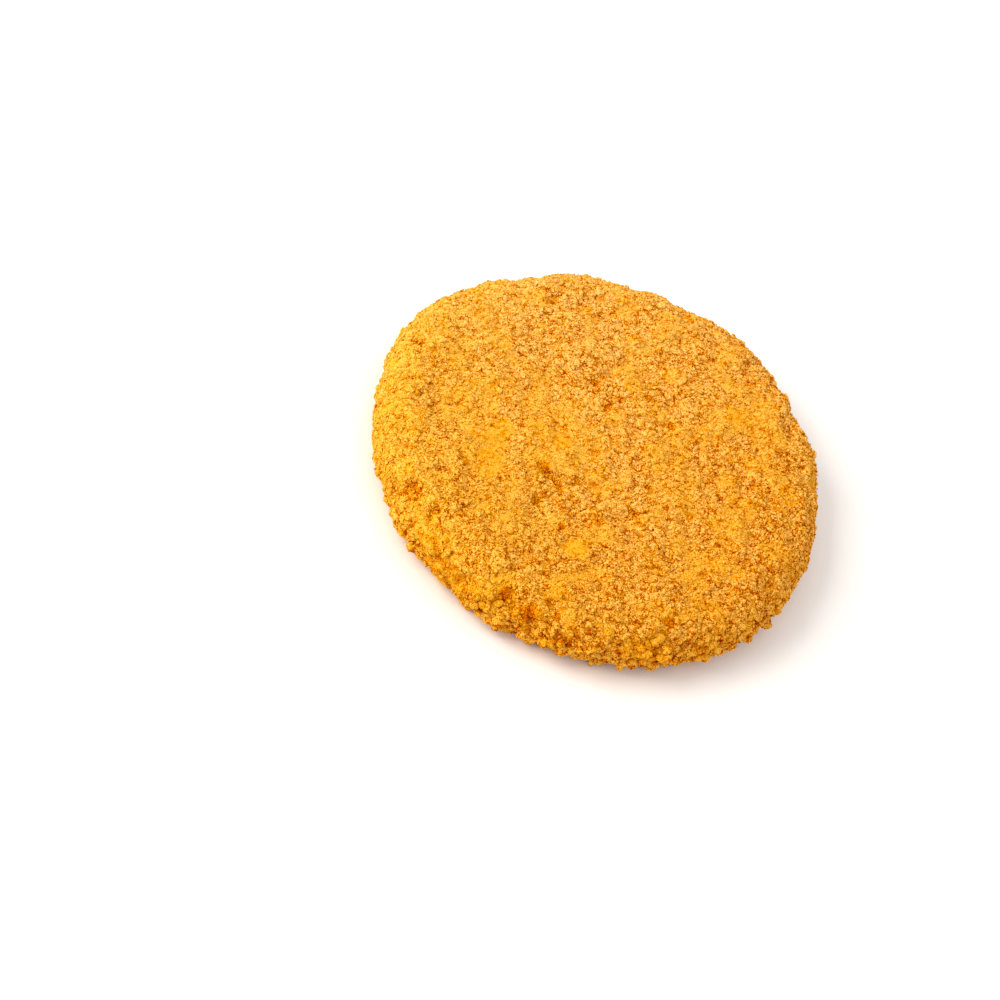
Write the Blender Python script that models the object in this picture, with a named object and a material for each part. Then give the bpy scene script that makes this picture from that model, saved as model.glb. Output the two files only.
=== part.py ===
"""Breaded salmon burger: one round pressed patty in a crust of breadcrumbs.

The patty lies flat on its own foot. Its origin is the middle of that foot, +Z is up and
every length is in metres.
"""
import math

import bmesh
import bpy
import numpy as np
from mathutils import Vector, noise

# The pressed patty, to the middle of its crust.
DIAMETER = 0.0985
THICKNESS = 0.0141
EDGE_WIDTH = 0.0090     # how far in from the rim the shoulder starts to round over
EDGE_FULLNESS = 2.3     # 2 is a half ellipse, and more gives a squarer side
CROWN = 0.0003          # how far the middle of the top stands over its shoulder

# The outline is nearly a circle: two low waves run round it (waves, height, degrees of a crest).
OUTLINE_WAVES = ((3, 0.0004, -57.0), (4, 0.0004, -26.0))

# The crust's relief, from the broad lumps of the filling to single clumps of crumbs.
LUMP_SIZE = 0.0160
LUMP_HEIGHT = 0.0010
CLUMP_SIZE = 0.0048
CLUMP_HEIGHT = 0.0015
CRUMB_SIZE = 0.0021
CRUMB_HEIGHT = 0.0010
FOOT_FADE = 0.0016      # the relief grows from nothing at the foot to full this far above it

# The smooth patch where the crust was pressed flat: middle, half length, half width, direction.
PATCH_MIDDLE = Vector((-0.0200, -0.0172, THICKNESS))
PATCH_ALONG = Vector((0.15, 1.0, 0.0)).normalized()
PATCH_HALF_LENGTH = 0.0105
PATCH_HALF_WIDTH = 0.0036
PATCH_DEPTH = 0.0003

# Creases in the top, each from one end to the other (x, y).
CREASES = (
    ((-0.0104, -0.0156), (-0.0020, -0.0134)),
    ((-0.0020, -0.0134), (0.0040, -0.0104)),
    ((-0.0238, -0.0231), (-0.0215, -0.0300)),
    ((-0.0060, 0.0160), (-0.0053, 0.0260)),
    ((-0.0082, 0.0130), (-0.0005, 0.0128)),
    ((-0.0352, -0.0110), (-0.0320, -0.0075)),
)
CREASE_DEPTH = 0.0009
CREASE_WIDTH = 0.0011

# Pits where a clump of crumbs fell away, on the top and round the rim (x, y, z).
PITS = (
    (-0.0071, -0.0237, THICKNESS),
    (0.0253, 0.0176, THICKNESS),
    (0.0310, 0.0060, THICKNESS),
    (0.0020, -0.0290, THICKNESS),
    (-0.0324, -0.0344, 0.83 * THICKNESS),
    (-0.0237, -0.0400, 0.88 * THICKNESS),
    (-0.0350, -0.0335, 0.67 * THICKNESS),
    (-0.0016, -0.0480, 0.77 * THICKNESS),
    (0.0054, -0.0466, 0.85 * THICKNESS),
    (0.0033, -0.0492, 0.56 * THICKNESS),
    (0.0330, 0.0345, 0.80 * THICKNESS),
)
PIT_DEPTH = 0.0012
PIT_RADIUS = 0.0021

# Fineness of the surface: a sphere of 80 triangles, each edge cut this many times more.
SURFACE_CUTS = 13
SECTION_STEPS = 200

CRUST_COLOUR = (0.847, 0.366, 0.030, 1.0)
CRUST_ROUGHNESS = 0.7
FOOD_IOR = 1.45


def clear_scene():
    for old in list(bpy.data.objects):
        bpy.data.objects.remove(old, do_unlink=True)


def smooth_step(value):
    value = min(max(value, 0.0), 1.0)
    return value * value * (3.0 - 2.0 * value)


def section():
    """The patty's section, from the middle of the top down to the middle of the foot.

    Returns the share of the whole surface passed so far, the radius and the height.
    """
    flat_radius = 0.5 * DIAMETER - EDGE_WIDTH
    turn = np.linspace(0.5 * math.pi, -0.5 * math.pi, SECTION_STEPS)
    power = 2.0 / EDGE_FULLNESS
    rise = np.sign(np.sin(turn)) * np.abs(np.sin(turn)) ** power
    reach = np.abs(np.cos(turn)) ** power
    flat = np.linspace(0.0, flat_radius, SECTION_STEPS)[:-1]

    radius = np.concatenate((flat, flat_radius + EDGE_WIDTH * reach, flat[::-1]))
    height = np.concatenate((np.ones_like(flat), rise, -np.ones_like(flat)))
    height = 0.5 * THICKNESS * (height + 1.0)

    slant = np.hypot(np.diff(radius), np.diff(height))
    ring_area = math.pi * (radius[1:] + radius[:-1]) * slant
    passed = np.concatenate(([0.0], np.cumsum(ring_area)))
    return passed / passed[-1], radius, height


def outline_swell(angle):
    """How far the rim stands out at an angle, through the low waves of the outline."""
    return sum(
        height * math.cos(waves * (angle - math.radians(crest)))
        for waves, height, crest in OUTLINE_WAVES
    )


def plain_patty():
    """A round flat body with evenly spread vertices, before its relief."""
    share, radius, height = section()
    body = bmesh.new()
    bmesh.ops.create_icosphere(body, subdivisions=2, radius=1.0)
    bmesh.ops.subdivide_edges(
        body, edges=body.edges[:], cuts=SURFACE_CUTS, use_grid_fill=True)
    for vert in body.verts:
        on_ball = vert.co.normalized()
        angle = math.atan2(on_ball.y, on_ball.x)
        passed = 0.5 * (1.0 - on_ball.z)
        reach = float(np.interp(passed, share, radius))
        level = float(np.interp(passed, share, height))
        from_middle = reach / (0.5 * DIAMETER)
        if level > 0.5 * THICKNESS:
            level += CROWN * (1.0 - from_middle ** 2)
        reach += outline_swell(angle) * from_middle ** 2
        vert.co = (reach * math.cos(angle), reach * math.sin(angle), level)
    body.normal_update()
    return body


def patch_share(point):
    """1 in the middle of the pressed patch, falling to 0 at its border."""
    offset = point - PATCH_MIDDLE
    along = offset.dot(PATCH_ALONG)
    across = (offset - PATCH_ALONG * along).length
    away = math.hypot(along / PATCH_HALF_LENGTH, across / PATCH_HALF_WIDTH)
    return smooth_step(2.0 * (1.2 - away))


def crust_relief(point):
    """Lumps of the filling, clumps with crevices between them, and single crumbs."""
    lump = noise.noise(point / LUMP_SIZE) * LUMP_HEIGHT
    to_clump = noise.voronoi(point / CLUMP_SIZE)[0][0]
    clump = (0.4 - to_clump ** 2) * CLUMP_HEIGHT
    crumb = noise.noise(point / CRUMB_SIZE) * CRUMB_HEIGHT
    pressed = patch_share(point)
    return lump + (clump + crumb) * (1.0 - pressed) - PATCH_DEPTH * pressed


def crease_cut(point):
    """Depth of the creases at a point of the top."""
    cut = 0.0
    for start, end in CREASES:
        first = Vector((start[0], start[1], THICKNESS))
        run = Vector((end[0], end[1], THICKNESS)) - first
        along = min(max((point - first).dot(run) / run.length_squared, 0.0), 1.0)
        away = (point - first - run * along).length
        cut = max(cut, CREASE_DEPTH * math.exp(-(away / CREASE_WIDTH) ** 2))
    return cut


def pit_cut(point):
    """Depth of the pits at a point."""
    return max(
        PIT_DEPTH * math.exp(-((point - Vector(pit)).length / PIT_RADIUS) ** 2)
        for pit in PITS
    )


def add_relief(body):
    """Move each vertex along its normal, with a flat foot at the bottom."""
    for vert in body.verts:
        point = vert.co.copy()
        above_foot = smooth_step(point.z / FOOT_FADE)
        rise = crust_relief(point) - crease_cut(point) - pit_cut(point)
        vert.co = point + vert.normal * rise * above_foot
        vert.co.z = max(vert.co.z, 0.0)


def centre_on_foot(body):
    """Put the middle of the outline on the origin's vertical."""
    across = [vert.co.x for vert in body.verts]
    deep = [vert.co.y for vert in body.verts]
    middle = Vector((0.5 * (min(across) + max(across)), 0.5 * (min(deep) + max(deep)), 0.0))
    bmesh.ops.translate(body, verts=body.verts, vec=-middle)


def crust_material():
    """Fried breadcrumbs: matt, deep golden orange."""
    material = bpy.data.materials.new("fried_breadcrumb_crust")
    material.use_nodes = True
    shader = material.node_tree.nodes["Principled BSDF"]
    shader.inputs["Base Color"].default_value = CRUST_COLOUR
    shader.inputs["Roughness"].default_value = CRUST_ROUGHNESS
    shader.inputs["Metallic"].default_value = 0.0
    shader.inputs["IOR"].default_value = FOOD_IOR
    return material


def build_patty(collection):
    body = plain_patty()
    add_relief(body)
    centre_on_foot(body)
    mesh = bpy.data.meshes.new("patty")
    body.to_mesh(mesh)
    body.free()
    mesh.shade_smooth()
    mesh.materials.append(crust_material())
    patty = bpy.data.objects.new("patty", mesh)
    collection.objects.link(patty)
    return patty


clear_scene()
burger = bpy.data.collections.new("breaded_salmon_burger")
bpy.context.scene.collection.children.link(burger)
build_patty(burger)
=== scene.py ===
"""Breaded salmon burger: a fried crust of breadcrumbs, and the studio round it."""

import bmesh
import bpy
import numpy as np
from mathutils import Matrix, Vector, noise


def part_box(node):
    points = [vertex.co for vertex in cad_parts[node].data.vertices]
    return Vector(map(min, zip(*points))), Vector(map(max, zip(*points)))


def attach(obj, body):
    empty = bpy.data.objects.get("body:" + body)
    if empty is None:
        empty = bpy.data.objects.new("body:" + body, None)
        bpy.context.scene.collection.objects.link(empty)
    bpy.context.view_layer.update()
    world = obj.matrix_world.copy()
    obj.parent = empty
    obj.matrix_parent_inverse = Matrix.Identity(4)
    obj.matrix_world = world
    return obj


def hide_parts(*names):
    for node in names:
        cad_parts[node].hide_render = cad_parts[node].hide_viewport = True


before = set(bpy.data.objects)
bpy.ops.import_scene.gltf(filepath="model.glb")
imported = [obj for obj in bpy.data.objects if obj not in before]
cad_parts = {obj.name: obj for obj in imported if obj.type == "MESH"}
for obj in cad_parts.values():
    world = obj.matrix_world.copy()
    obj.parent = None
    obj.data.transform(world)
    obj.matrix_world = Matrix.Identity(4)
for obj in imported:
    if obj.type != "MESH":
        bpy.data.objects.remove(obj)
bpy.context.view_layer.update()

# The crust's bed: minced fish pressed in a round mould, dipped in batter, rolled in breadcrumbs
# and fried. This piece is the batter with the crumbs that sank into it: one closed skin over the
# whole patty, in clumps with narrow crevices between them.

MM = 0.001
SEED = 4711                  # of every noise and random draw, so that each run gives the same crust
noise.seed_set(SEED)

LOWEST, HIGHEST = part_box("patty")
RADIUS = 0.25 * (HIGHEST[0] - LOWEST[0] + HIGHEST[1] - LOWEST[1])
HEIGHT = HIGHEST[2] - LOWEST[2]

# It starts as the solid's own skin, made fine enough to carry the clumps.
BED_CUTS = 3                 # each edge of the solid is cut this many times, to about 0.5 mm
BED_SMOOTHING = 6            # rounds of smoothing
SMOOTHING_STEP = 0.5         # a vertex goes this share of its way to its neighbours in each round
WELD = 0.01 * MM


def fine_skin(node, name):
    """A copy of a solid's skin, cut finer and smoothed until its flat facets are gone."""
    body = bmesh.new()
    body.from_mesh(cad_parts[node].data)
    bmesh.ops.remove_doubles(body, verts=body.verts, dist=WELD)
    bmesh.ops.subdivide_edges(body, edges=body.edges[:], cuts=BED_CUTS, use_grid_fill=True)
    for _ in range(BED_SMOOTHING):
        bmesh.ops.smooth_vert(
            body, verts=body.verts, factor=SMOOTHING_STEP,
            use_axis_x=True, use_axis_y=True, use_axis_z=True)
    mesh = bpy.data.meshes.new(name)
    body.to_mesh(mesh)
    body.free()
    piece = bpy.data.objects.new(name, mesh)
    bpy.context.scene.collection.objects.link(piece)
    return piece


def ramp(values, start, full):
    """0 up to start, 1 from full on, and straight between them."""
    return np.clip((values - start) / (full - start), 0.0, 1.0)


# Places on the crust: on the top they are given by x, y and radius in mm, and round the rim by
# degrees from +X, height and radius in mm.
TOP = HEIGHT - 1.0 * MM      # the level of the top between its highest clumps
RIM_INSET = 2.0 * MM         # from the box's side to the crust's own surface below its shoulder
SHOULDER_LEVEL = 0.65 * HEIGHT
SHOULDER_SLOPE = 0.5         # above that level the side curves in, this much for each step up

# A place marks the crust in full within the first of these, in its own radii, and not at all
# beyond the second. Heights count half, so that it reaches through the crust's ups and downs.
PLACE_CORE = 0.5
PLACE_END = 1.5
PLACE_SQUASH = (1.0, 1.0, 0.5)


def on_top(x, y, radius):
    """A place on the top, in metres."""
    return (x * MM, y * MM, TOP, radius * MM)


def on_rim(bearing, height, radius):
    """A place on the side, in metres."""
    turn = np.radians(bearing)
    above = max(height * MM - SHOULDER_LEVEL, 0.0)
    reach = RADIUS - RIM_INSET - SHOULDER_SLOPE * above
    return (reach * np.cos(turn), reach * np.sin(turn), height * MM, radius * MM)


def along(start, end, radius):
    """Places in a row from start to end on the top, close enough to run together."""
    steps = 2 + int(np.hypot(end[0] - start[0], end[1] - start[1]) / radius)
    return [on_top(x, y, radius) for x, y in np.linspace(start, end, steps)]


def near(points, places):
    """1 at the given places, falling smoothly to 0 round them."""
    share = np.zeros(len(points))
    for x, y, z, radius in places:
        away = np.linalg.norm((points - (x, y, z)) * PLACE_SQUASH, axis=1) / radius
        share = np.maximum(share, ramp(away, PLACE_END, PLACE_CORE))
    return share * share * (3.0 - 2.0 * share)


# Where the crust was pressed smooth: one long patch, and two small ones.
SMOOTH_PLACES = [
    on_top(-19.8, -21.5, 3.0), on_top(-20.5, -18.0, 3.9), on_top(-21.4, -13.5, 3.6),
    on_top(-20.8, -9.0, 2.8), on_top(-14.2, -5.6, 2.6), on_top(-8.8, -5.6, 3.4),
    on_top(4.4, -30.2, 2.8), on_top(22.8, 23.3, 3.2),
]

# Where the crust gapes: single crumbs fell away on the top and round the rim, and the top split
# along three short lines.
GAPS = [
    on_top(-7.6, -23.1, 1.3), on_top(-7.8, 14.2, 1.1), on_top(-6.8, 11.8, 1.0),
    on_top(-3.2, 9.0, 1.2), on_top(-0.9, 13.0, 1.0), on_top(-23.7, 29.9, 1.2),
    on_top(10.7, 12.5, 1.1), on_top(-0.6, -26.2, 1.1), on_top(6.3, -20.9, 1.0),
    on_top(11.4, -14.1, 1.0), on_top(12.1, -5.8, 0.9), on_top(30.8, -11.5, 0.9),
    on_rim(-134.0, 13.9, 1.6), on_rim(-131.0, 12.7, 1.6), on_rim(-124.0, 15.0, 1.5),
    on_rim(-95.0, 12.0, 1.6), on_rim(-88.0, 10.0, 1.5), on_rim(-84.0, 14.2, 1.3),
    on_rim(-52.0, 14.4, 1.3), on_rim(177.0, 15.4, 1.5),
    *along((-10.1, -14.1), (-6.2, -15.4), 1.1),
    *along((-6.2, -15.4), (-4.0, -17.6), 1.1),
    *along((-3.0, -14.6), (2.2, -11.6), 0.8),
]

# The side most ragged and darkest, and the side that painted light makes paler: degrees from +X.
RAGGED_BEARING = -70.0
PAINTED_LIGHT_BEARING = 155.0

# Where the lower side, its ragged stretch and the shoulder start, and where they are in full.
SIDE_REACH = (0.88 * RADIUS, 0.96 * RADIUS)
SIDE_LEVEL = (0.82 * HEIGHT, 0.57 * HEIGHT)
RAGGED_LEAN = (0.35, 0.95)
RAGGED_LEAST = 0.06          # how ragged the rest of the lower side is
SHOULDER_REACH = (0.80 * RADIUS, 0.94 * RADIUS)


def lean(points, bearing):
    """How far points lie towards a bearing: 1 at the rim there, and -1 at the far rim."""
    turn = np.radians(bearing)
    return (points[:, 0] * np.cos(turn) + points[:, 1] * np.sin(turn)) / RADIUS


def rim_share(points):
    """How ragged the lower side is: 1 where it is most so, 0 on the top and in the middle."""
    side = ramp(np.hypot(points[:, 0], points[:, 1]), *SIDE_REACH)
    low = ramp(points[:, 2], *SIDE_LEVEL)
    ragged = ramp(lean(points, RAGGED_BEARING), *RAGGED_LEAN)
    return side * low * (RAGGED_LEAST + (1.0 - RAGGED_LEAST) * ragged)


def shoulder_share(points):
    """1 on the shoulder that painted light makes palest, falling to 0 inwards and on the other side.
    """
    outer = ramp(np.hypot(points[:, 0], points[:, 1]), *SHOULDER_REACH)
    return outer * np.clip(lean(points, PAINTED_LIGHT_BEARING), 0.0, 1.0)


# Smooth and rough areas take turns over the crust, as a slow noise goes up and down.
AREA_SIZE = 6.0 * MM
AREA_NOISE = (-0.05, 0.30)   # where a smooth area starts, and where it is in full
AREA_SMOOTHNESS = 0.6        # how smooth such an area gets
SHOULDER_SMOOTHNESS = 0.6    # and how smooth the palest shoulder is


def smoothness(points):
    """How smooth the crust is: 0 where it is roughest, and 1 where it was pressed flat."""
    wave = np.array([noise.noise(Vector(point) / AREA_SIZE) for point in points])
    area = AREA_SMOOTHNESS * ramp(wave, *AREA_NOISE)
    shoulder = SHOULDER_SMOOTHNESS * shoulder_share(points)
    return np.maximum.reduce([area, shoulder, near(points, SMOOTH_PLACES)])


# Clumps, the granules in them, and the coarse clumps of the ragged rim: how wide and how high.
CLUMP_SIZE = 3.4 * MM
CLUMP_RISE = 0.40 * MM
GRANULE_SIZE = 1.2 * MM
GRANULE_RISE = 0.30 * MM
RAGGED_SIZE = 4.6 * MM
RAGGED_RISE = 0.9 * MM
GAP_DEPTH = 0.45 * MM
LEVELLED = 0.8               # the share of the clumps' height that is gone where it is smoothest
FOOT_FADE = 1.5 * MM         # they grow from nothing at the foot to full this far above it
FOOT_CLEARANCE = 0.35 * MM   # the bed's underside is this far above the crumbs' lowest points

# Each of them is a dome with a nearly flat top.
DOME_SIDES = 2.2             # how steeply its sides rise from the crevice round it
DOME_FALL = 0.4              # how much its top falls off towards its sides
DOME_MEAN = 0.6              # its mean height, which is taken off, so that the crust keeps its level
RAGGED_MEAN = 0.5

# The pattern is bent, so that no clump has straight sides: how wide the bends are and how far they
# move a clump, in clump sizes, and what share of that moves the granules and the ragged clumps.
BEND_SIZE = 2.0
BEND_REACH = 0.6
GRANULE_BEND = 0.4
RAGGED_BEND = 1.4

# How open the bed lies to the light, from 0 to 1, which the material paints as shade in the crevices:
# what it has in a crevice, and what clumps and granules add to that.
OPEN_CREVICE = 0.3
OPEN_CLUMP = 0.4
OPEN_GRANULE = 0.3
OPEN_SMOOTH = 0.8            # a smooth area comes nearer to this
SMOOTH_PULL = 0.6            # by this share
RAGGED_SHADE = 0.25          # what the dents of the ragged rim lose
GAP_SHADE = 0.6              # the share that a gap loses


def dome(point, size):
    """Height of a flat-topped dome over each cell of a Voronoi pattern, 0 in its borders."""
    first, second = noise.voronoi(point / size)[0][:2]
    return min(1.0, DOME_SIDES * (second - first)) * (1.0 - DOME_FALL * first)


def crust_rise(points):
    """How far the crust stands out at points of its skin, and how open it is there (0 to 1), which
    the material paints as shade.
    """
    clump = np.empty(len(points))
    granule = np.empty(len(points))
    ragged = np.empty(len(points))
    for i, xyz in enumerate(points):
        point = Vector(xyz)
        bend = noise.noise_vector(point / (BEND_SIZE * CLUMP_SIZE)) * BEND_REACH * CLUMP_SIZE
        clump[i] = dome(point + bend, CLUMP_SIZE)
        granule[i] = dome(point + GRANULE_BEND * bend, GRANULE_SIZE)
        ragged[i] = dome(point + RAGGED_BEND * bend, RAGGED_SIZE)
    smooth = smoothness(points)
    gap = near(points, GAPS)
    rim = rim_share(points)
    rise = (clump - DOME_MEAN) * CLUMP_RISE + (granule - DOME_MEAN) * GRANULE_RISE
    rise = (
        rise * (1.0 - LEVELLED * smooth)
        + rim * (ragged - RAGGED_MEAN) * RAGGED_RISE
        - gap * GAP_DEPTH)
    # How open each point lies, for painted shade: darkest in crevices, in the ragged rim's dents and
    # in gaps.
    openness = OPEN_CREVICE + OPEN_CLUMP * clump + OPEN_GRANULE * granule
    openness += (
        SMOOTH_PULL * smooth * (OPEN_SMOOTH - openness)
        - RAGGED_SHADE * rim * (1.0 - ragged))
    return rise, np.clip(openness * (1.0 - GAP_SHADE * gap), 0.0, 1.0)


bed = fine_skin("patty", "crust_bed")
skin = np.array([vertex.co for vertex in bed.data.vertices])
outward = np.array([vertex.normal for vertex in bed.data.vertices])
rise, open_share = crust_rise(skin)
skin = skin + outward * (rise * ramp(skin[:, 2], 0.0, FOOT_FADE))[:, None]
skin[:, 2] = np.maximum(skin[:, 2], FOOT_CLEARANCE)
bed.data.vertices.foreach_set("co", skin.ravel())
bed.data.shade_smooth()
bed.data.update()
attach(bed, "root")
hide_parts("patty")


# Fried breadcrumb, of the bed and of each loose crumb: dried wheat bread ground to grit and browned
# in oil. The starch is matt and a little translucent; a crumb is bright golden yellow, and the deep
# orange in its pores and in the gaps between crumbs is painted shade.

# From the deepest gap to the palest crumb, in even steps of paleness from 0 to 1: browned tones,
# whose dark end also serves as painted shade.
BROWNING_AND_SHADE = ("#983600", "#C25A00", "#DA7F00", "#DE9A00", "#E9AC34", "#F3BC5C", "#FFC97A", "#FFD59C")
CRUMB_IOR = 1.45
CRUMB_ROUGHNESS = 0.7
CRUMB_SPECULAR = 0.02        # a porous crumb has hardly any surface to shine

# Bread's pores are about 0.1 mm wide, too fine to show, so they are drawn as wide as needed.
PORE_SIZE = 0.3 * MM
PORE_BUMP = 0.12 * MM
BUMP_STRENGTH = 0.5
PORE_DETAIL = 2.0
PORE_HARSHNESS = 0.6

# Cracks between granules of this size, broken up by a slow noise.
CRACK_SIZE = 1.4 * MM
CRACK_DETAIL = 1.0
CRACK_BREAKS = 0.8

# Painted shade: what the paleness loses at the bottom of a pore, in a crack and in a gap (the first
# of each pair), and painted light: what it gains on the open surface (the second).
PORE_SHADE = {"From Min": 0.32, "From Max": 0.52, "To Min": -0.64, "To Max": 0.10}
CRACK_SHADE = {"From Min": 0.37, "From Max": 0.46, "To Min": -0.35, "To Max": 0.02}
OPEN_SHADE = {"From Min": 0.05, "From Max": 0.60, "To Min": -0.50, "To Max": 0.06}

# The painted shade of the pores and cracks marks the crust this strongly, and less where it is
# smooth.
GRAIN_SHADE = 1.07
GRAIN_SHADE_SMOOTHED = 0.6

# Paleness in the middle of the top; then painted light, which makes the crust paler towards one
# side's rim, and what it adds on that side's shoulder.
PALE_MIDDLE = 0.575
PAINTED_LIGHT_SIDE = 0.075
PAINTED_LIGHT_SHOULDER = 0.02

# What it loses where the crust was pressed smooth, on the ragged rim, and as it gets smoother.
BROWN_SPOTS = 0.045
DARKER_RIM = 0.05
BROWN_SMOOTH = 0.08

# Where oil stayed and the crust is a clear yellow: on the top, and round the rim.
OILY_PLACES = [
    on_top(-28.4, -36.6, 2.0), on_top(13.0, -6.2, 1.0),
    on_rim(-123.0, 14.0, 2.2), on_rim(-139.0, 14.5, 2.0), on_rim(-159.0, 12.0, 1.8),
    on_rim(-157.0, 15.0, 2.0), on_rim(-168.0, 12.0, 2.0), on_rim(-175.0, 11.0, 1.8),
    on_rim(149.0, 15.0, 2.2),
]
OIL_COLOUR = "#F4F078"       # what a full film of oil lets through
OIL_SHARE = 0.9              # how full the film is at those places
OIL_TONE = 0.08              # how much paler the crust under it is
FILM_BEARING = -140.0        # the side where the film is fullest: degrees from +X
FILM_SIDE = 0.62              # how full the film gets at that side's rim
OIL_LEAST = 0.08             # and how full it is everywhere


def linear(hex_colour):
    """Linear RGBA of an sRGB hex colour."""
    channels = [int(hex_colour[i:i + 2], 16) / 255.0 for i in (1, 3, 5)]
    turned = [c / 12.92 if c <= 0.04045 else ((c + 0.055) / 1.055) ** 2.4 for c in channels]
    return (*turned, 1.0)


def add_node(tree, kind, settings=None, links=None):
    """Add a shader node, set its properties and sockets, and link its inputs."""
    node = tree.nodes.new(kind)
    for key, value in (settings or {}).items():
        if isinstance(key, int) or key in node.inputs:
            node.inputs[key].default_value = value
        else:
            setattr(node, key, value)
    for key, source in (links or {}).items():
        tree.links.new(source, node.inputs[key])
    return node


def fried_breadcrumb():
    """Browned breadcrumb: its own paleness, painted shade in its pores and cracks and by how open it
    lies, and its oil.
    """
    material = bpy.data.materials.new("fried_breadcrumb")
    material.use_nodes = True
    tree = material.node_tree
    shader = tree.nodes["Principled BSDF"]
    place = add_node(tree, "ShaderNodeTexCoord").outputs["Object"]
    tone = add_node(tree, "ShaderNodeAttribute", {"attribute_name": "tone"})
    openness = add_node(tree, "ShaderNodeAttribute", {"attribute_name": "open"})
    rough = add_node(tree, "ShaderNodeAttribute", {"attribute_name": "rough"})
    oily = add_node(tree, "ShaderNodeAttribute", {"attribute_name": "oily"})

    pores = add_node(
        tree, "ShaderNodeTexNoise",
        {"Scale": 1.0 / PORE_SIZE, "Detail": PORE_DETAIL, "Roughness": PORE_HARSHNESS},
        {"Vector": place})
    wander = add_node(
        tree, "ShaderNodeTexNoise",
        {"Scale": 1.0 / CRACK_SIZE, "Detail": CRACK_DETAIL}, {"Vector": place})
    bent = add_node(
        tree, "ShaderNodeVectorMath",
        {"operation": "MULTIPLY_ADD", 1: (CRACK_SIZE, CRACK_SIZE, CRACK_SIZE)},
        {0: wander.outputs["Color"], 2: place})
    cracks = add_node(
        tree, "ShaderNodeTexVoronoi",
        {"feature": "DISTANCE_TO_EDGE", "Scale": 1.0 / CRACK_SIZE},
        {"Vector": bent.outputs["Vector"]})
    broken = add_node(
        tree, "ShaderNodeMath", {"operation": "MULTIPLY_ADD", 1: CRACK_BREAKS},
        {0: wander.outputs["Fac"], 2: cracks.outputs["Distance"]})
    # Painted shade: pores, cracks and less open places darken the paleness, and open places lighten
    # it.
    pore_light = add_node(tree, "ShaderNodeMapRange", PORE_SHADE, {"Value": pores.outputs["Fac"]})
    crack_light = add_node(tree, "ShaderNodeMapRange", CRACK_SHADE, {"Value": broken.outputs["Value"]})
    grain_light = add_node(
        tree, "ShaderNodeMath", {"operation": "ADD"},
        {0: pore_light.outputs["Result"], 1: crack_light.outputs["Result"]})
    open_light = add_node(tree, "ShaderNodeMapRange", OPEN_SHADE, {"Value": openness.outputs["Fac"]})
    base_light = add_node(
        tree, "ShaderNodeMath", {"operation": "ADD"},
        {0: tone.outputs["Fac"], 1: open_light.outputs["Result"]})
    light = add_node(
        tree, "ShaderNodeMath", {"operation": "MULTIPLY_ADD"},
        {0: grain_light.outputs["Value"], 1: rough.outputs["Fac"], 2: base_light.outputs["Value"]})

    browning_and_shade = add_node(tree, "ShaderNodeValToRGB", links={"Fac": light.outputs["Value"]})
    stops = browning_and_shade.color_ramp.elements
    stops[0].color = linear(BROWNING_AND_SHADE[0])
    stops[1].color = linear(BROWNING_AND_SHADE[-1])
    for i, colour in enumerate(BROWNING_AND_SHADE[1:-1], start=1):
        stops.new(i / (len(BROWNING_AND_SHADE) - 1)).color = linear(colour)
    # Of the Mix node's sockets, 6 and 7 are the two colours that it mixes, and output 2 the result.
    oil = add_node(
        tree, "ShaderNodeMix",
        {"data_type": "RGBA", "blend_type": "MULTIPLY", 7: linear(OIL_COLOUR)},
        {0: oily.outputs["Fac"], 6: browning_and_shade.outputs["Color"]})
    tree.links.new(oil.outputs[2], shader.inputs["Base Color"])

    bump = add_node(
        tree, "ShaderNodeBump",
        {"Strength": BUMP_STRENGTH, "Distance": PORE_BUMP}, {"Height": pores.outputs["Fac"]})
    tree.links.new(bump.outputs["Normal"], shader.inputs["Normal"])
    shader.inputs["Roughness"].default_value = CRUMB_ROUGHNESS
    shader.inputs["IOR"].default_value = CRUMB_IOR
    shader.inputs["Specular IOR Level"].default_value = CRUMB_SPECULAR
    return material


def paleness(points):
    """How pale the crust is, from 0 to 1: how little it is browned, with painted light that makes one
    side paler.
    """
    # Painted light: paler towards one side, and more so on its shoulder.
    tone = PALE_MIDDLE + PAINTED_LIGHT_SIDE * lean(points, PAINTED_LIGHT_BEARING)
    tone += PAINTED_LIGHT_SHOULDER * shoulder_share(points)
    tone -= BROWN_SPOTS * near(points, SMOOTH_PLACES)
    return tone - DARKER_RIM * rim_share(points) - BROWN_SMOOTH * smoothness(points)


def store(mesh, name, values):
    """Keep one number for each vertex, for the material to read."""
    attribute = mesh.attributes.new(name, "FLOAT", "POINT")
    attribute.data.foreach_set("value", np.asarray(values, np.float32))


def finish_crumb(mesh, points, openness, tone_change=0.0):
    """Give a mesh the breadcrumb material, with what it reads at each vertex.

    The places where it is read are points, one for each vertex or one for each crumb.
    """
    each = len(mesh.vertices) // len(points)
    store(mesh, "open", openness)
    oil = near(points, OILY_PLACES)
    store(mesh, "tone", np.repeat(paleness(points) + OIL_TONE * oil + tone_change, each))
    store(mesh, "rough", np.repeat(GRAIN_SHADE - GRAIN_SHADE_SMOOTHED * smoothness(points), each))
    film = OIL_LEAST + FILM_SIDE * np.maximum(lean(points, FILM_BEARING), 0.0)
    film = np.maximum(OIL_SHARE * oil, film * (1.0 - near(points, SMOOTH_PLACES)))
    store(mesh, "oily", np.repeat(film, each))
    mesh.materials.clear()
    mesh.materials.append(CRUMB)


CRUMB = fried_breadcrumb()
finish_crumb(bed.data, skin, open_share)


# The loose crumbs: the same ground bread in several sizes, pressed on while the batter was
# wet. The coarse ones stand proud and make the ragged rim, and the finer ones fill between
# them.

RNG = np.random.default_rng(SEED)

# How much the tone of crumbs 1 mm wide varies: most are light, and a few much browner. Finer
# ones vary more, and coarse ones less.
TONE_SPREAD = 0.055

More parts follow.
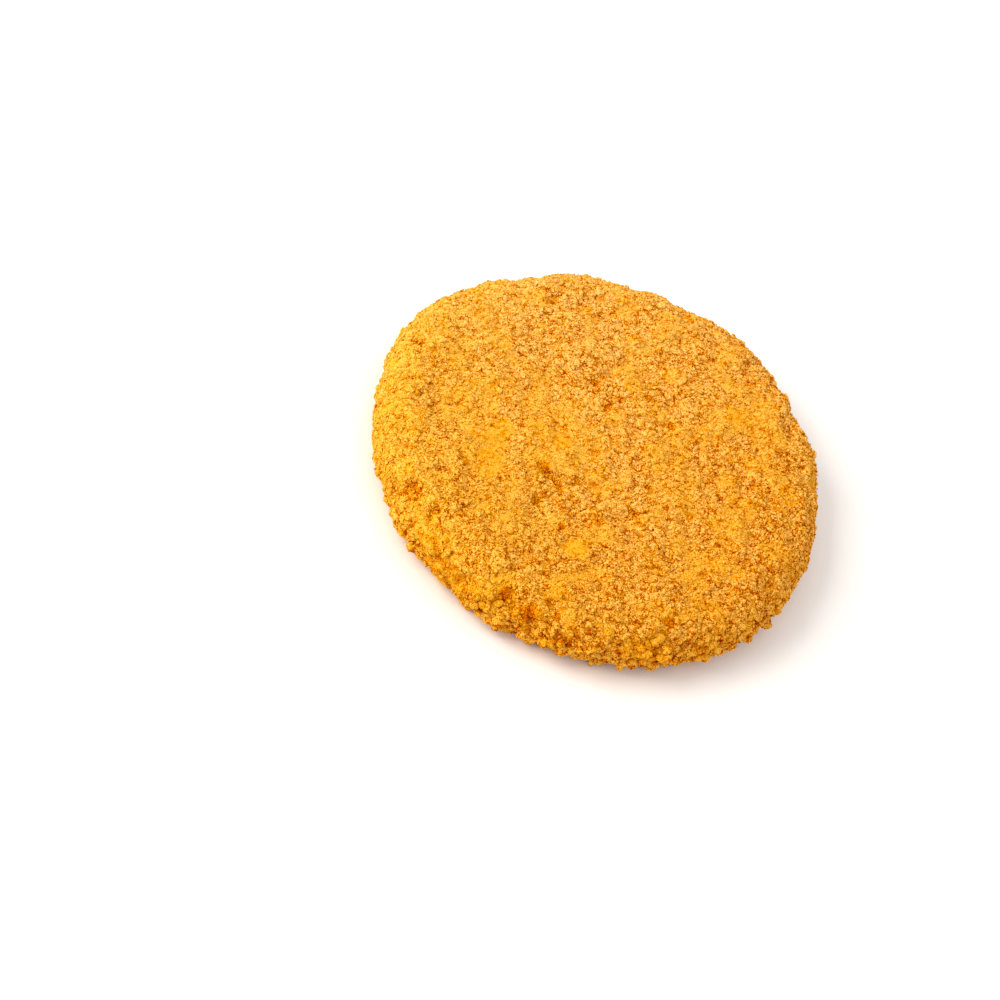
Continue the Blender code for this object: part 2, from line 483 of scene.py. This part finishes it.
# More crumbs are drawn than kept, as the smooth places and the gaps refuse many.
SPARE = 1.6
REFUSED_SMOOTH = 0.75
REFUSED_GAPS = 0.5

UNDERSIDE = 0.8 * MM         # below this height there are fewer, by this share
UNDERSIDE_SHARE = 0.35

FINE_BIAS = 1.6              # within each kind, the fine ones are the more common
STRETCH = (0.7, 1.35)        # least and most that each way through a crumb is stretched

# How open a crumb lies, for painted shade and light: this much from the bed under it, and this much
# from its foot to its top.
OPEN_BY_PLACE = 0.45
OPEN_BY_HEIGHT = 0.6
CRUMB_GAP_SHADE = 0.5        # the share that a gap takes away


def unit(vectors):
    """The same vectors with a length of 1."""
    return vectors / np.linalg.norm(vectors, axis=-1, keepdims=True)


def ball_mesh(detail):
    """Vertices and triangles of a unit ball of 20 faces, or 80 with one more detail."""
    bpy.ops.mesh.primitive_ico_sphere_add(subdivisions=detail, radius=1.0)
    ball = bpy.context.object
    corners = np.array([v.co for v in ball.data.vertices])
    faces = np.array([p.vertices[:] for p in ball.data.polygons])
    mesh = ball.data
    bpy.data.objects.remove(ball)
    bpy.data.meshes.remove(mesh)
    return corners, faces


def grain_mesh():
    """Vertices and triangles of an eight-sided grain."""
    corners = np.array([(1, 0, 0), (-1, 0, 0), (0, 1, 0), (0, -1, 0), (0, 0, 1), (0, 0, -1)], float)
    faces = np.array([
        (0, 2, 4), (2, 1, 4), (1, 3, 4), (3, 0, 4), (2, 0, 5), (1, 2, 5), (3, 1, 5), (0, 3, 5)])
    return corners, faces


def random_turns(count):
    """Random rotation matrices, from random quaternions."""
    w, x, y, z = unit(RNG.normal(size=(count, 4))).T
    rows = [
        1 - 2 * (y * y + z * z), 2 * (x * y - z * w), 2 * (x * z + y * w),
        2 * (x * y + z * w), 1 - 2 * (x * x + z * z), 2 * (y * z - x * w),
        2 * (x * z - y * w), 2 * (y * z + x * w), 1 - 2 * (x * x + y * y)]
    return np.stack(rows, axis=-1).reshape(count, 3, 3)


def skin_points(count, only_rim):
    """Random places on the crust's bed: points, normals and how open the crust is there."""
    mesh = bed.data
    mesh.calc_loop_triangles()
    corners = np.empty(len(mesh.loop_triangles) * 3, np.int32)
    mesh.loop_triangles.foreach_get("vertices", corners)
    corners = corners.reshape(-1, 3)
    a, b, c = (skin[corners[:, i]] for i in range(3))
    cross = np.cross(b - a, c - a)
    area = 0.5 * np.linalg.norm(cross, axis=1)
    middle = (a + b + c) / 3.0
    wanted = area * np.where(middle[:, 2] < UNDERSIDE, UNDERSIDE_SHARE, 1.0)
    if only_rim:
        wanted = area * rim_share(middle)
    chosen = RNG.choice(len(corners), size=count, p=wanted / wanted.sum())
    u, v = RNG.random((2, count))
    over = u + v > 1.0      # outside the triangle, so it is turned back into it
    u[over], v[over] = 1.0 - u[over], 1.0 - v[over]
    weights = np.stack([1.0 - u - v, u, v], axis=-1)
    trio = corners[chosen]
    points = (skin[trio] * weights[:, :, None]).sum(axis=1)
    normals = unit(cross[chosen])
    openness = (open_share[trio] * weights).sum(axis=1)
    return points, normals, openness


def scatter_crumbs(name, count, sizes, shape, lift, knobs, flatness, only_rim=False):
    """Join count irregular crumbs on the bed into one piece.

    Sizes are their least and most width in mm, and lift is how far their middles stand over the
    bed, least and most, in widths. Knobs is how far their corners stand in or out, and flatness
    how much of their height is pressed away.
    """
    corners, faces = shape
    points, normals, openness = skin_points(int(count * SPARE), only_rim)
    bare = np.maximum(REFUSED_SMOOTH * smoothness(points), REFUSED_GAPS * near(points, GAPS))
    kept = RNG.random(len(points)) > bare
    points, normals, openness = points[kept][:count], normals[kept][:count], openness[kept][:count]
    count = len(points)
    width = (sizes[0] + (sizes[1] - sizes[0]) * RNG.random(count) ** FINE_BIAS) * MM
    stretch = RNG.uniform(*STRETCH, (count, 3))
    bulge = 1.0 + knobs * RNG.uniform(-1.0, 1.0, (count, len(corners)))
    local = corners[None] * bulge[:, :, None] * stretch[:, None, :] * (0.5 * width)[:, None, None]
    local = np.einsum("nij,nkj->nki", random_turns(count), local)
    height = (local * normals[:, None, :]).sum(axis=2)
    local -= flatness * height[:, :, None] * normals[:, None, :]
    middle = points + normals * (width * RNG.uniform(*lift, count))[:, None]
    placed = middle[:, None, :] + local
    placed[:, :, 2] = np.maximum(placed[:, :, 2], 0.0)
    joined = (faces[None] + (np.arange(count) * len(corners))[:, None, None]).reshape(-1, 3)

    mesh = bpy.data.meshes.new(name)
    mesh.from_pydata(placed.reshape(-1, 3), [], joined)
    # Painted shade and light on each crumb: darker at its foot and over shaded bed, lighter towards
    # its top.
    up = 0.5 + height / width[:, None]
    shade_openness = np.clip(OPEN_BY_PLACE * openness[:, None] + OPEN_BY_HEIGHT * up, 0.0, 1.0)
    shade_openness = shade_openness * (1.0 - CRUMB_GAP_SHADE * near(middle, GAPS))[:, None]
    own_tone = TONE_SPREAD * MM / width * (1.0 - RNG.exponential(size=count))
    finish_crumb(mesh, middle, shade_openness.ravel(), own_tone)
    piece = bpy.data.objects.new(name, mesh)
    bpy.context.scene.collection.objects.link(piece)
    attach(piece, "root")
    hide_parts("patty")


scatter_crumbs(
    "crumbs_rim", count=380, sizes=(1.2, 2.2), shape=ball_mesh(2),
    lift=(-0.1, 0.3), knobs=0.22, flatness=0.1, only_rim=True)
scatter_crumbs(
    "crumbs_large", count=350, sizes=(1.2, 1.8), shape=ball_mesh(2),
    lift=(-0.2, 0.05), knobs=0.2, flatness=0.45)
scatter_crumbs(
    "crumbs_medium", count=9500, sizes=(0.7, 1.3), shape=ball_mesh(1),
    lift=(-0.1, 0.2), knobs=0.25, flatness=0.4)
scatter_crumbs(
    "crumbs_small", count=9900, sizes=(0.45, 0.8), shape=ball_mesh(1),
    lift=(0.0, 0.4), knobs=0.3, flatness=0.25)
scatter_crumbs(
    "crumbs_grit", count=24500, sizes=(0.28, 0.55), shape=grain_mesh(),
    lift=(0.0, 0.45), knobs=0.3, flatness=0.0)


# The floor: a plain pale sheet of card, matt, laid flat. The patty rests on it, and the sheet is
# far wider than the view, so that no edge shows.

FLOOR_WIDTH = 8.0            # metres
FLOOR_COLOUR = "#F6F4F1"
FLOOR_ROUGHNESS = 0.9

bpy.ops.mesh.primitive_plane_add(size=FLOOR_WIDTH, location=(0.0, 0.0, 0.0))
floor = bpy.context.object
floor.name = "floor"
floor_material = bpy.data.materials.new("matt_white_card")
floor_material.use_nodes = True
floor_shader = floor_material.node_tree.nodes["Principled BSDF"]
floor_shader.inputs["Base Color"].default_value = linear(FLOOR_COLOUR)
floor_shader.inputs["Roughness"].default_value = FLOOR_ROUGHNESS
floor.data.materials.append(floor_material)


# The studio light: one large soft box on the left, a little in front of the patty, in a white
# room that fills the shadows.

PATTY_MIDDLE = Vector((0.0, 0.0, 0.5 * HEIGHT))
BOX_TOWARDS = Vector((-0.85, -0.30, 0.78)).normalized()     # as seen from the patty
BOX_DISTANCE = 1.2           # metres
BOX_WIDTH = 0.8              # metres
BOX_WATTS = 12.0
BOX_COLOUR = "#FFFAF2"
ROOM_COLOUR = "#FFFFFF"
ROOM_STRENGTH = 0.93

light = bpy.data.lights.new("soft_box", "AREA")
light.shape = "SQUARE"
light.size = BOX_WIDTH
light.energy = BOX_WATTS
light.color = linear(BOX_COLOUR)[:3]
soft_box = bpy.data.objects.new("soft_box", light)
bpy.context.scene.collection.objects.link(soft_box)
soft_box.location = PATTY_MIDDLE + BOX_TOWARDS * BOX_DISTANCE
soft_box.rotation_mode = "QUATERNION"
soft_box.rotation_quaternion = BOX_TOWARDS.to_track_quat("Z", "Y")

room = bpy.data.worlds.new("white_room")
bpy.context.scene.world = room
room.use_nodes = True
background = room.node_tree.nodes["Background"]
background.inputs["Color"].default_value = linear(ROOM_COLOUR)
background.inputs["Strength"].default_value = ROOM_STRENGTH
bpy.context.scene.view_settings.view_transform = "Standard"


# The camera: a long lens that looks down on the patty from 48 degrees above it. It points a
# little past the patty and is rolled about its own line of sight, as the photograph shows it.

CAMERA_DISTANCE = 1.0822     # metres from the patty's middle
CAMERA_AZIMUTH = -89.98      # where it stands: degrees from +X, and above the floor
CAMERA_ELEVATION = 48.10
CAMERA_TILT = 41.02          # where it points: degrees up from straight down, round, and rolled
CAMERA_TURN = 1.20
CAMERA_ROLL = 25.67
LENS_MM = 183.8
SENSOR_MM = 36.0
CLIP_START = 0.01            # metres

lens = bpy.data.cameras.new("camera")
lens.sensor_width = SENSOR_MM
lens.lens = LENS_MM
lens.clip_start = CLIP_START
camera = bpy.data.objects.new("camera", lens)
bpy.context.scene.collection.objects.link(camera)
azimuth, elevation = np.radians((CAMERA_AZIMUTH, CAMERA_ELEVATION))
from_patty = Vector((
    np.cos(elevation) * np.cos(azimuth), np.cos(elevation) * np.sin(azimuth), np.sin(elevation)))
turned = Matrix.Rotation(np.radians(CAMERA_TURN), 4, "Z")
tilted = Matrix.Rotation(np.radians(CAMERA_TILT), 4, "X")
rolled = Matrix.Rotation(np.radians(CAMERA_ROLL), 4, "Z")
moved = Matrix.Translation(PATTY_MIDDLE + from_patty * CAMERA_DISTANCE)
camera.matrix_world = moved @ turned @ tilted @ rolled
bpy.context.scene.camera = camera
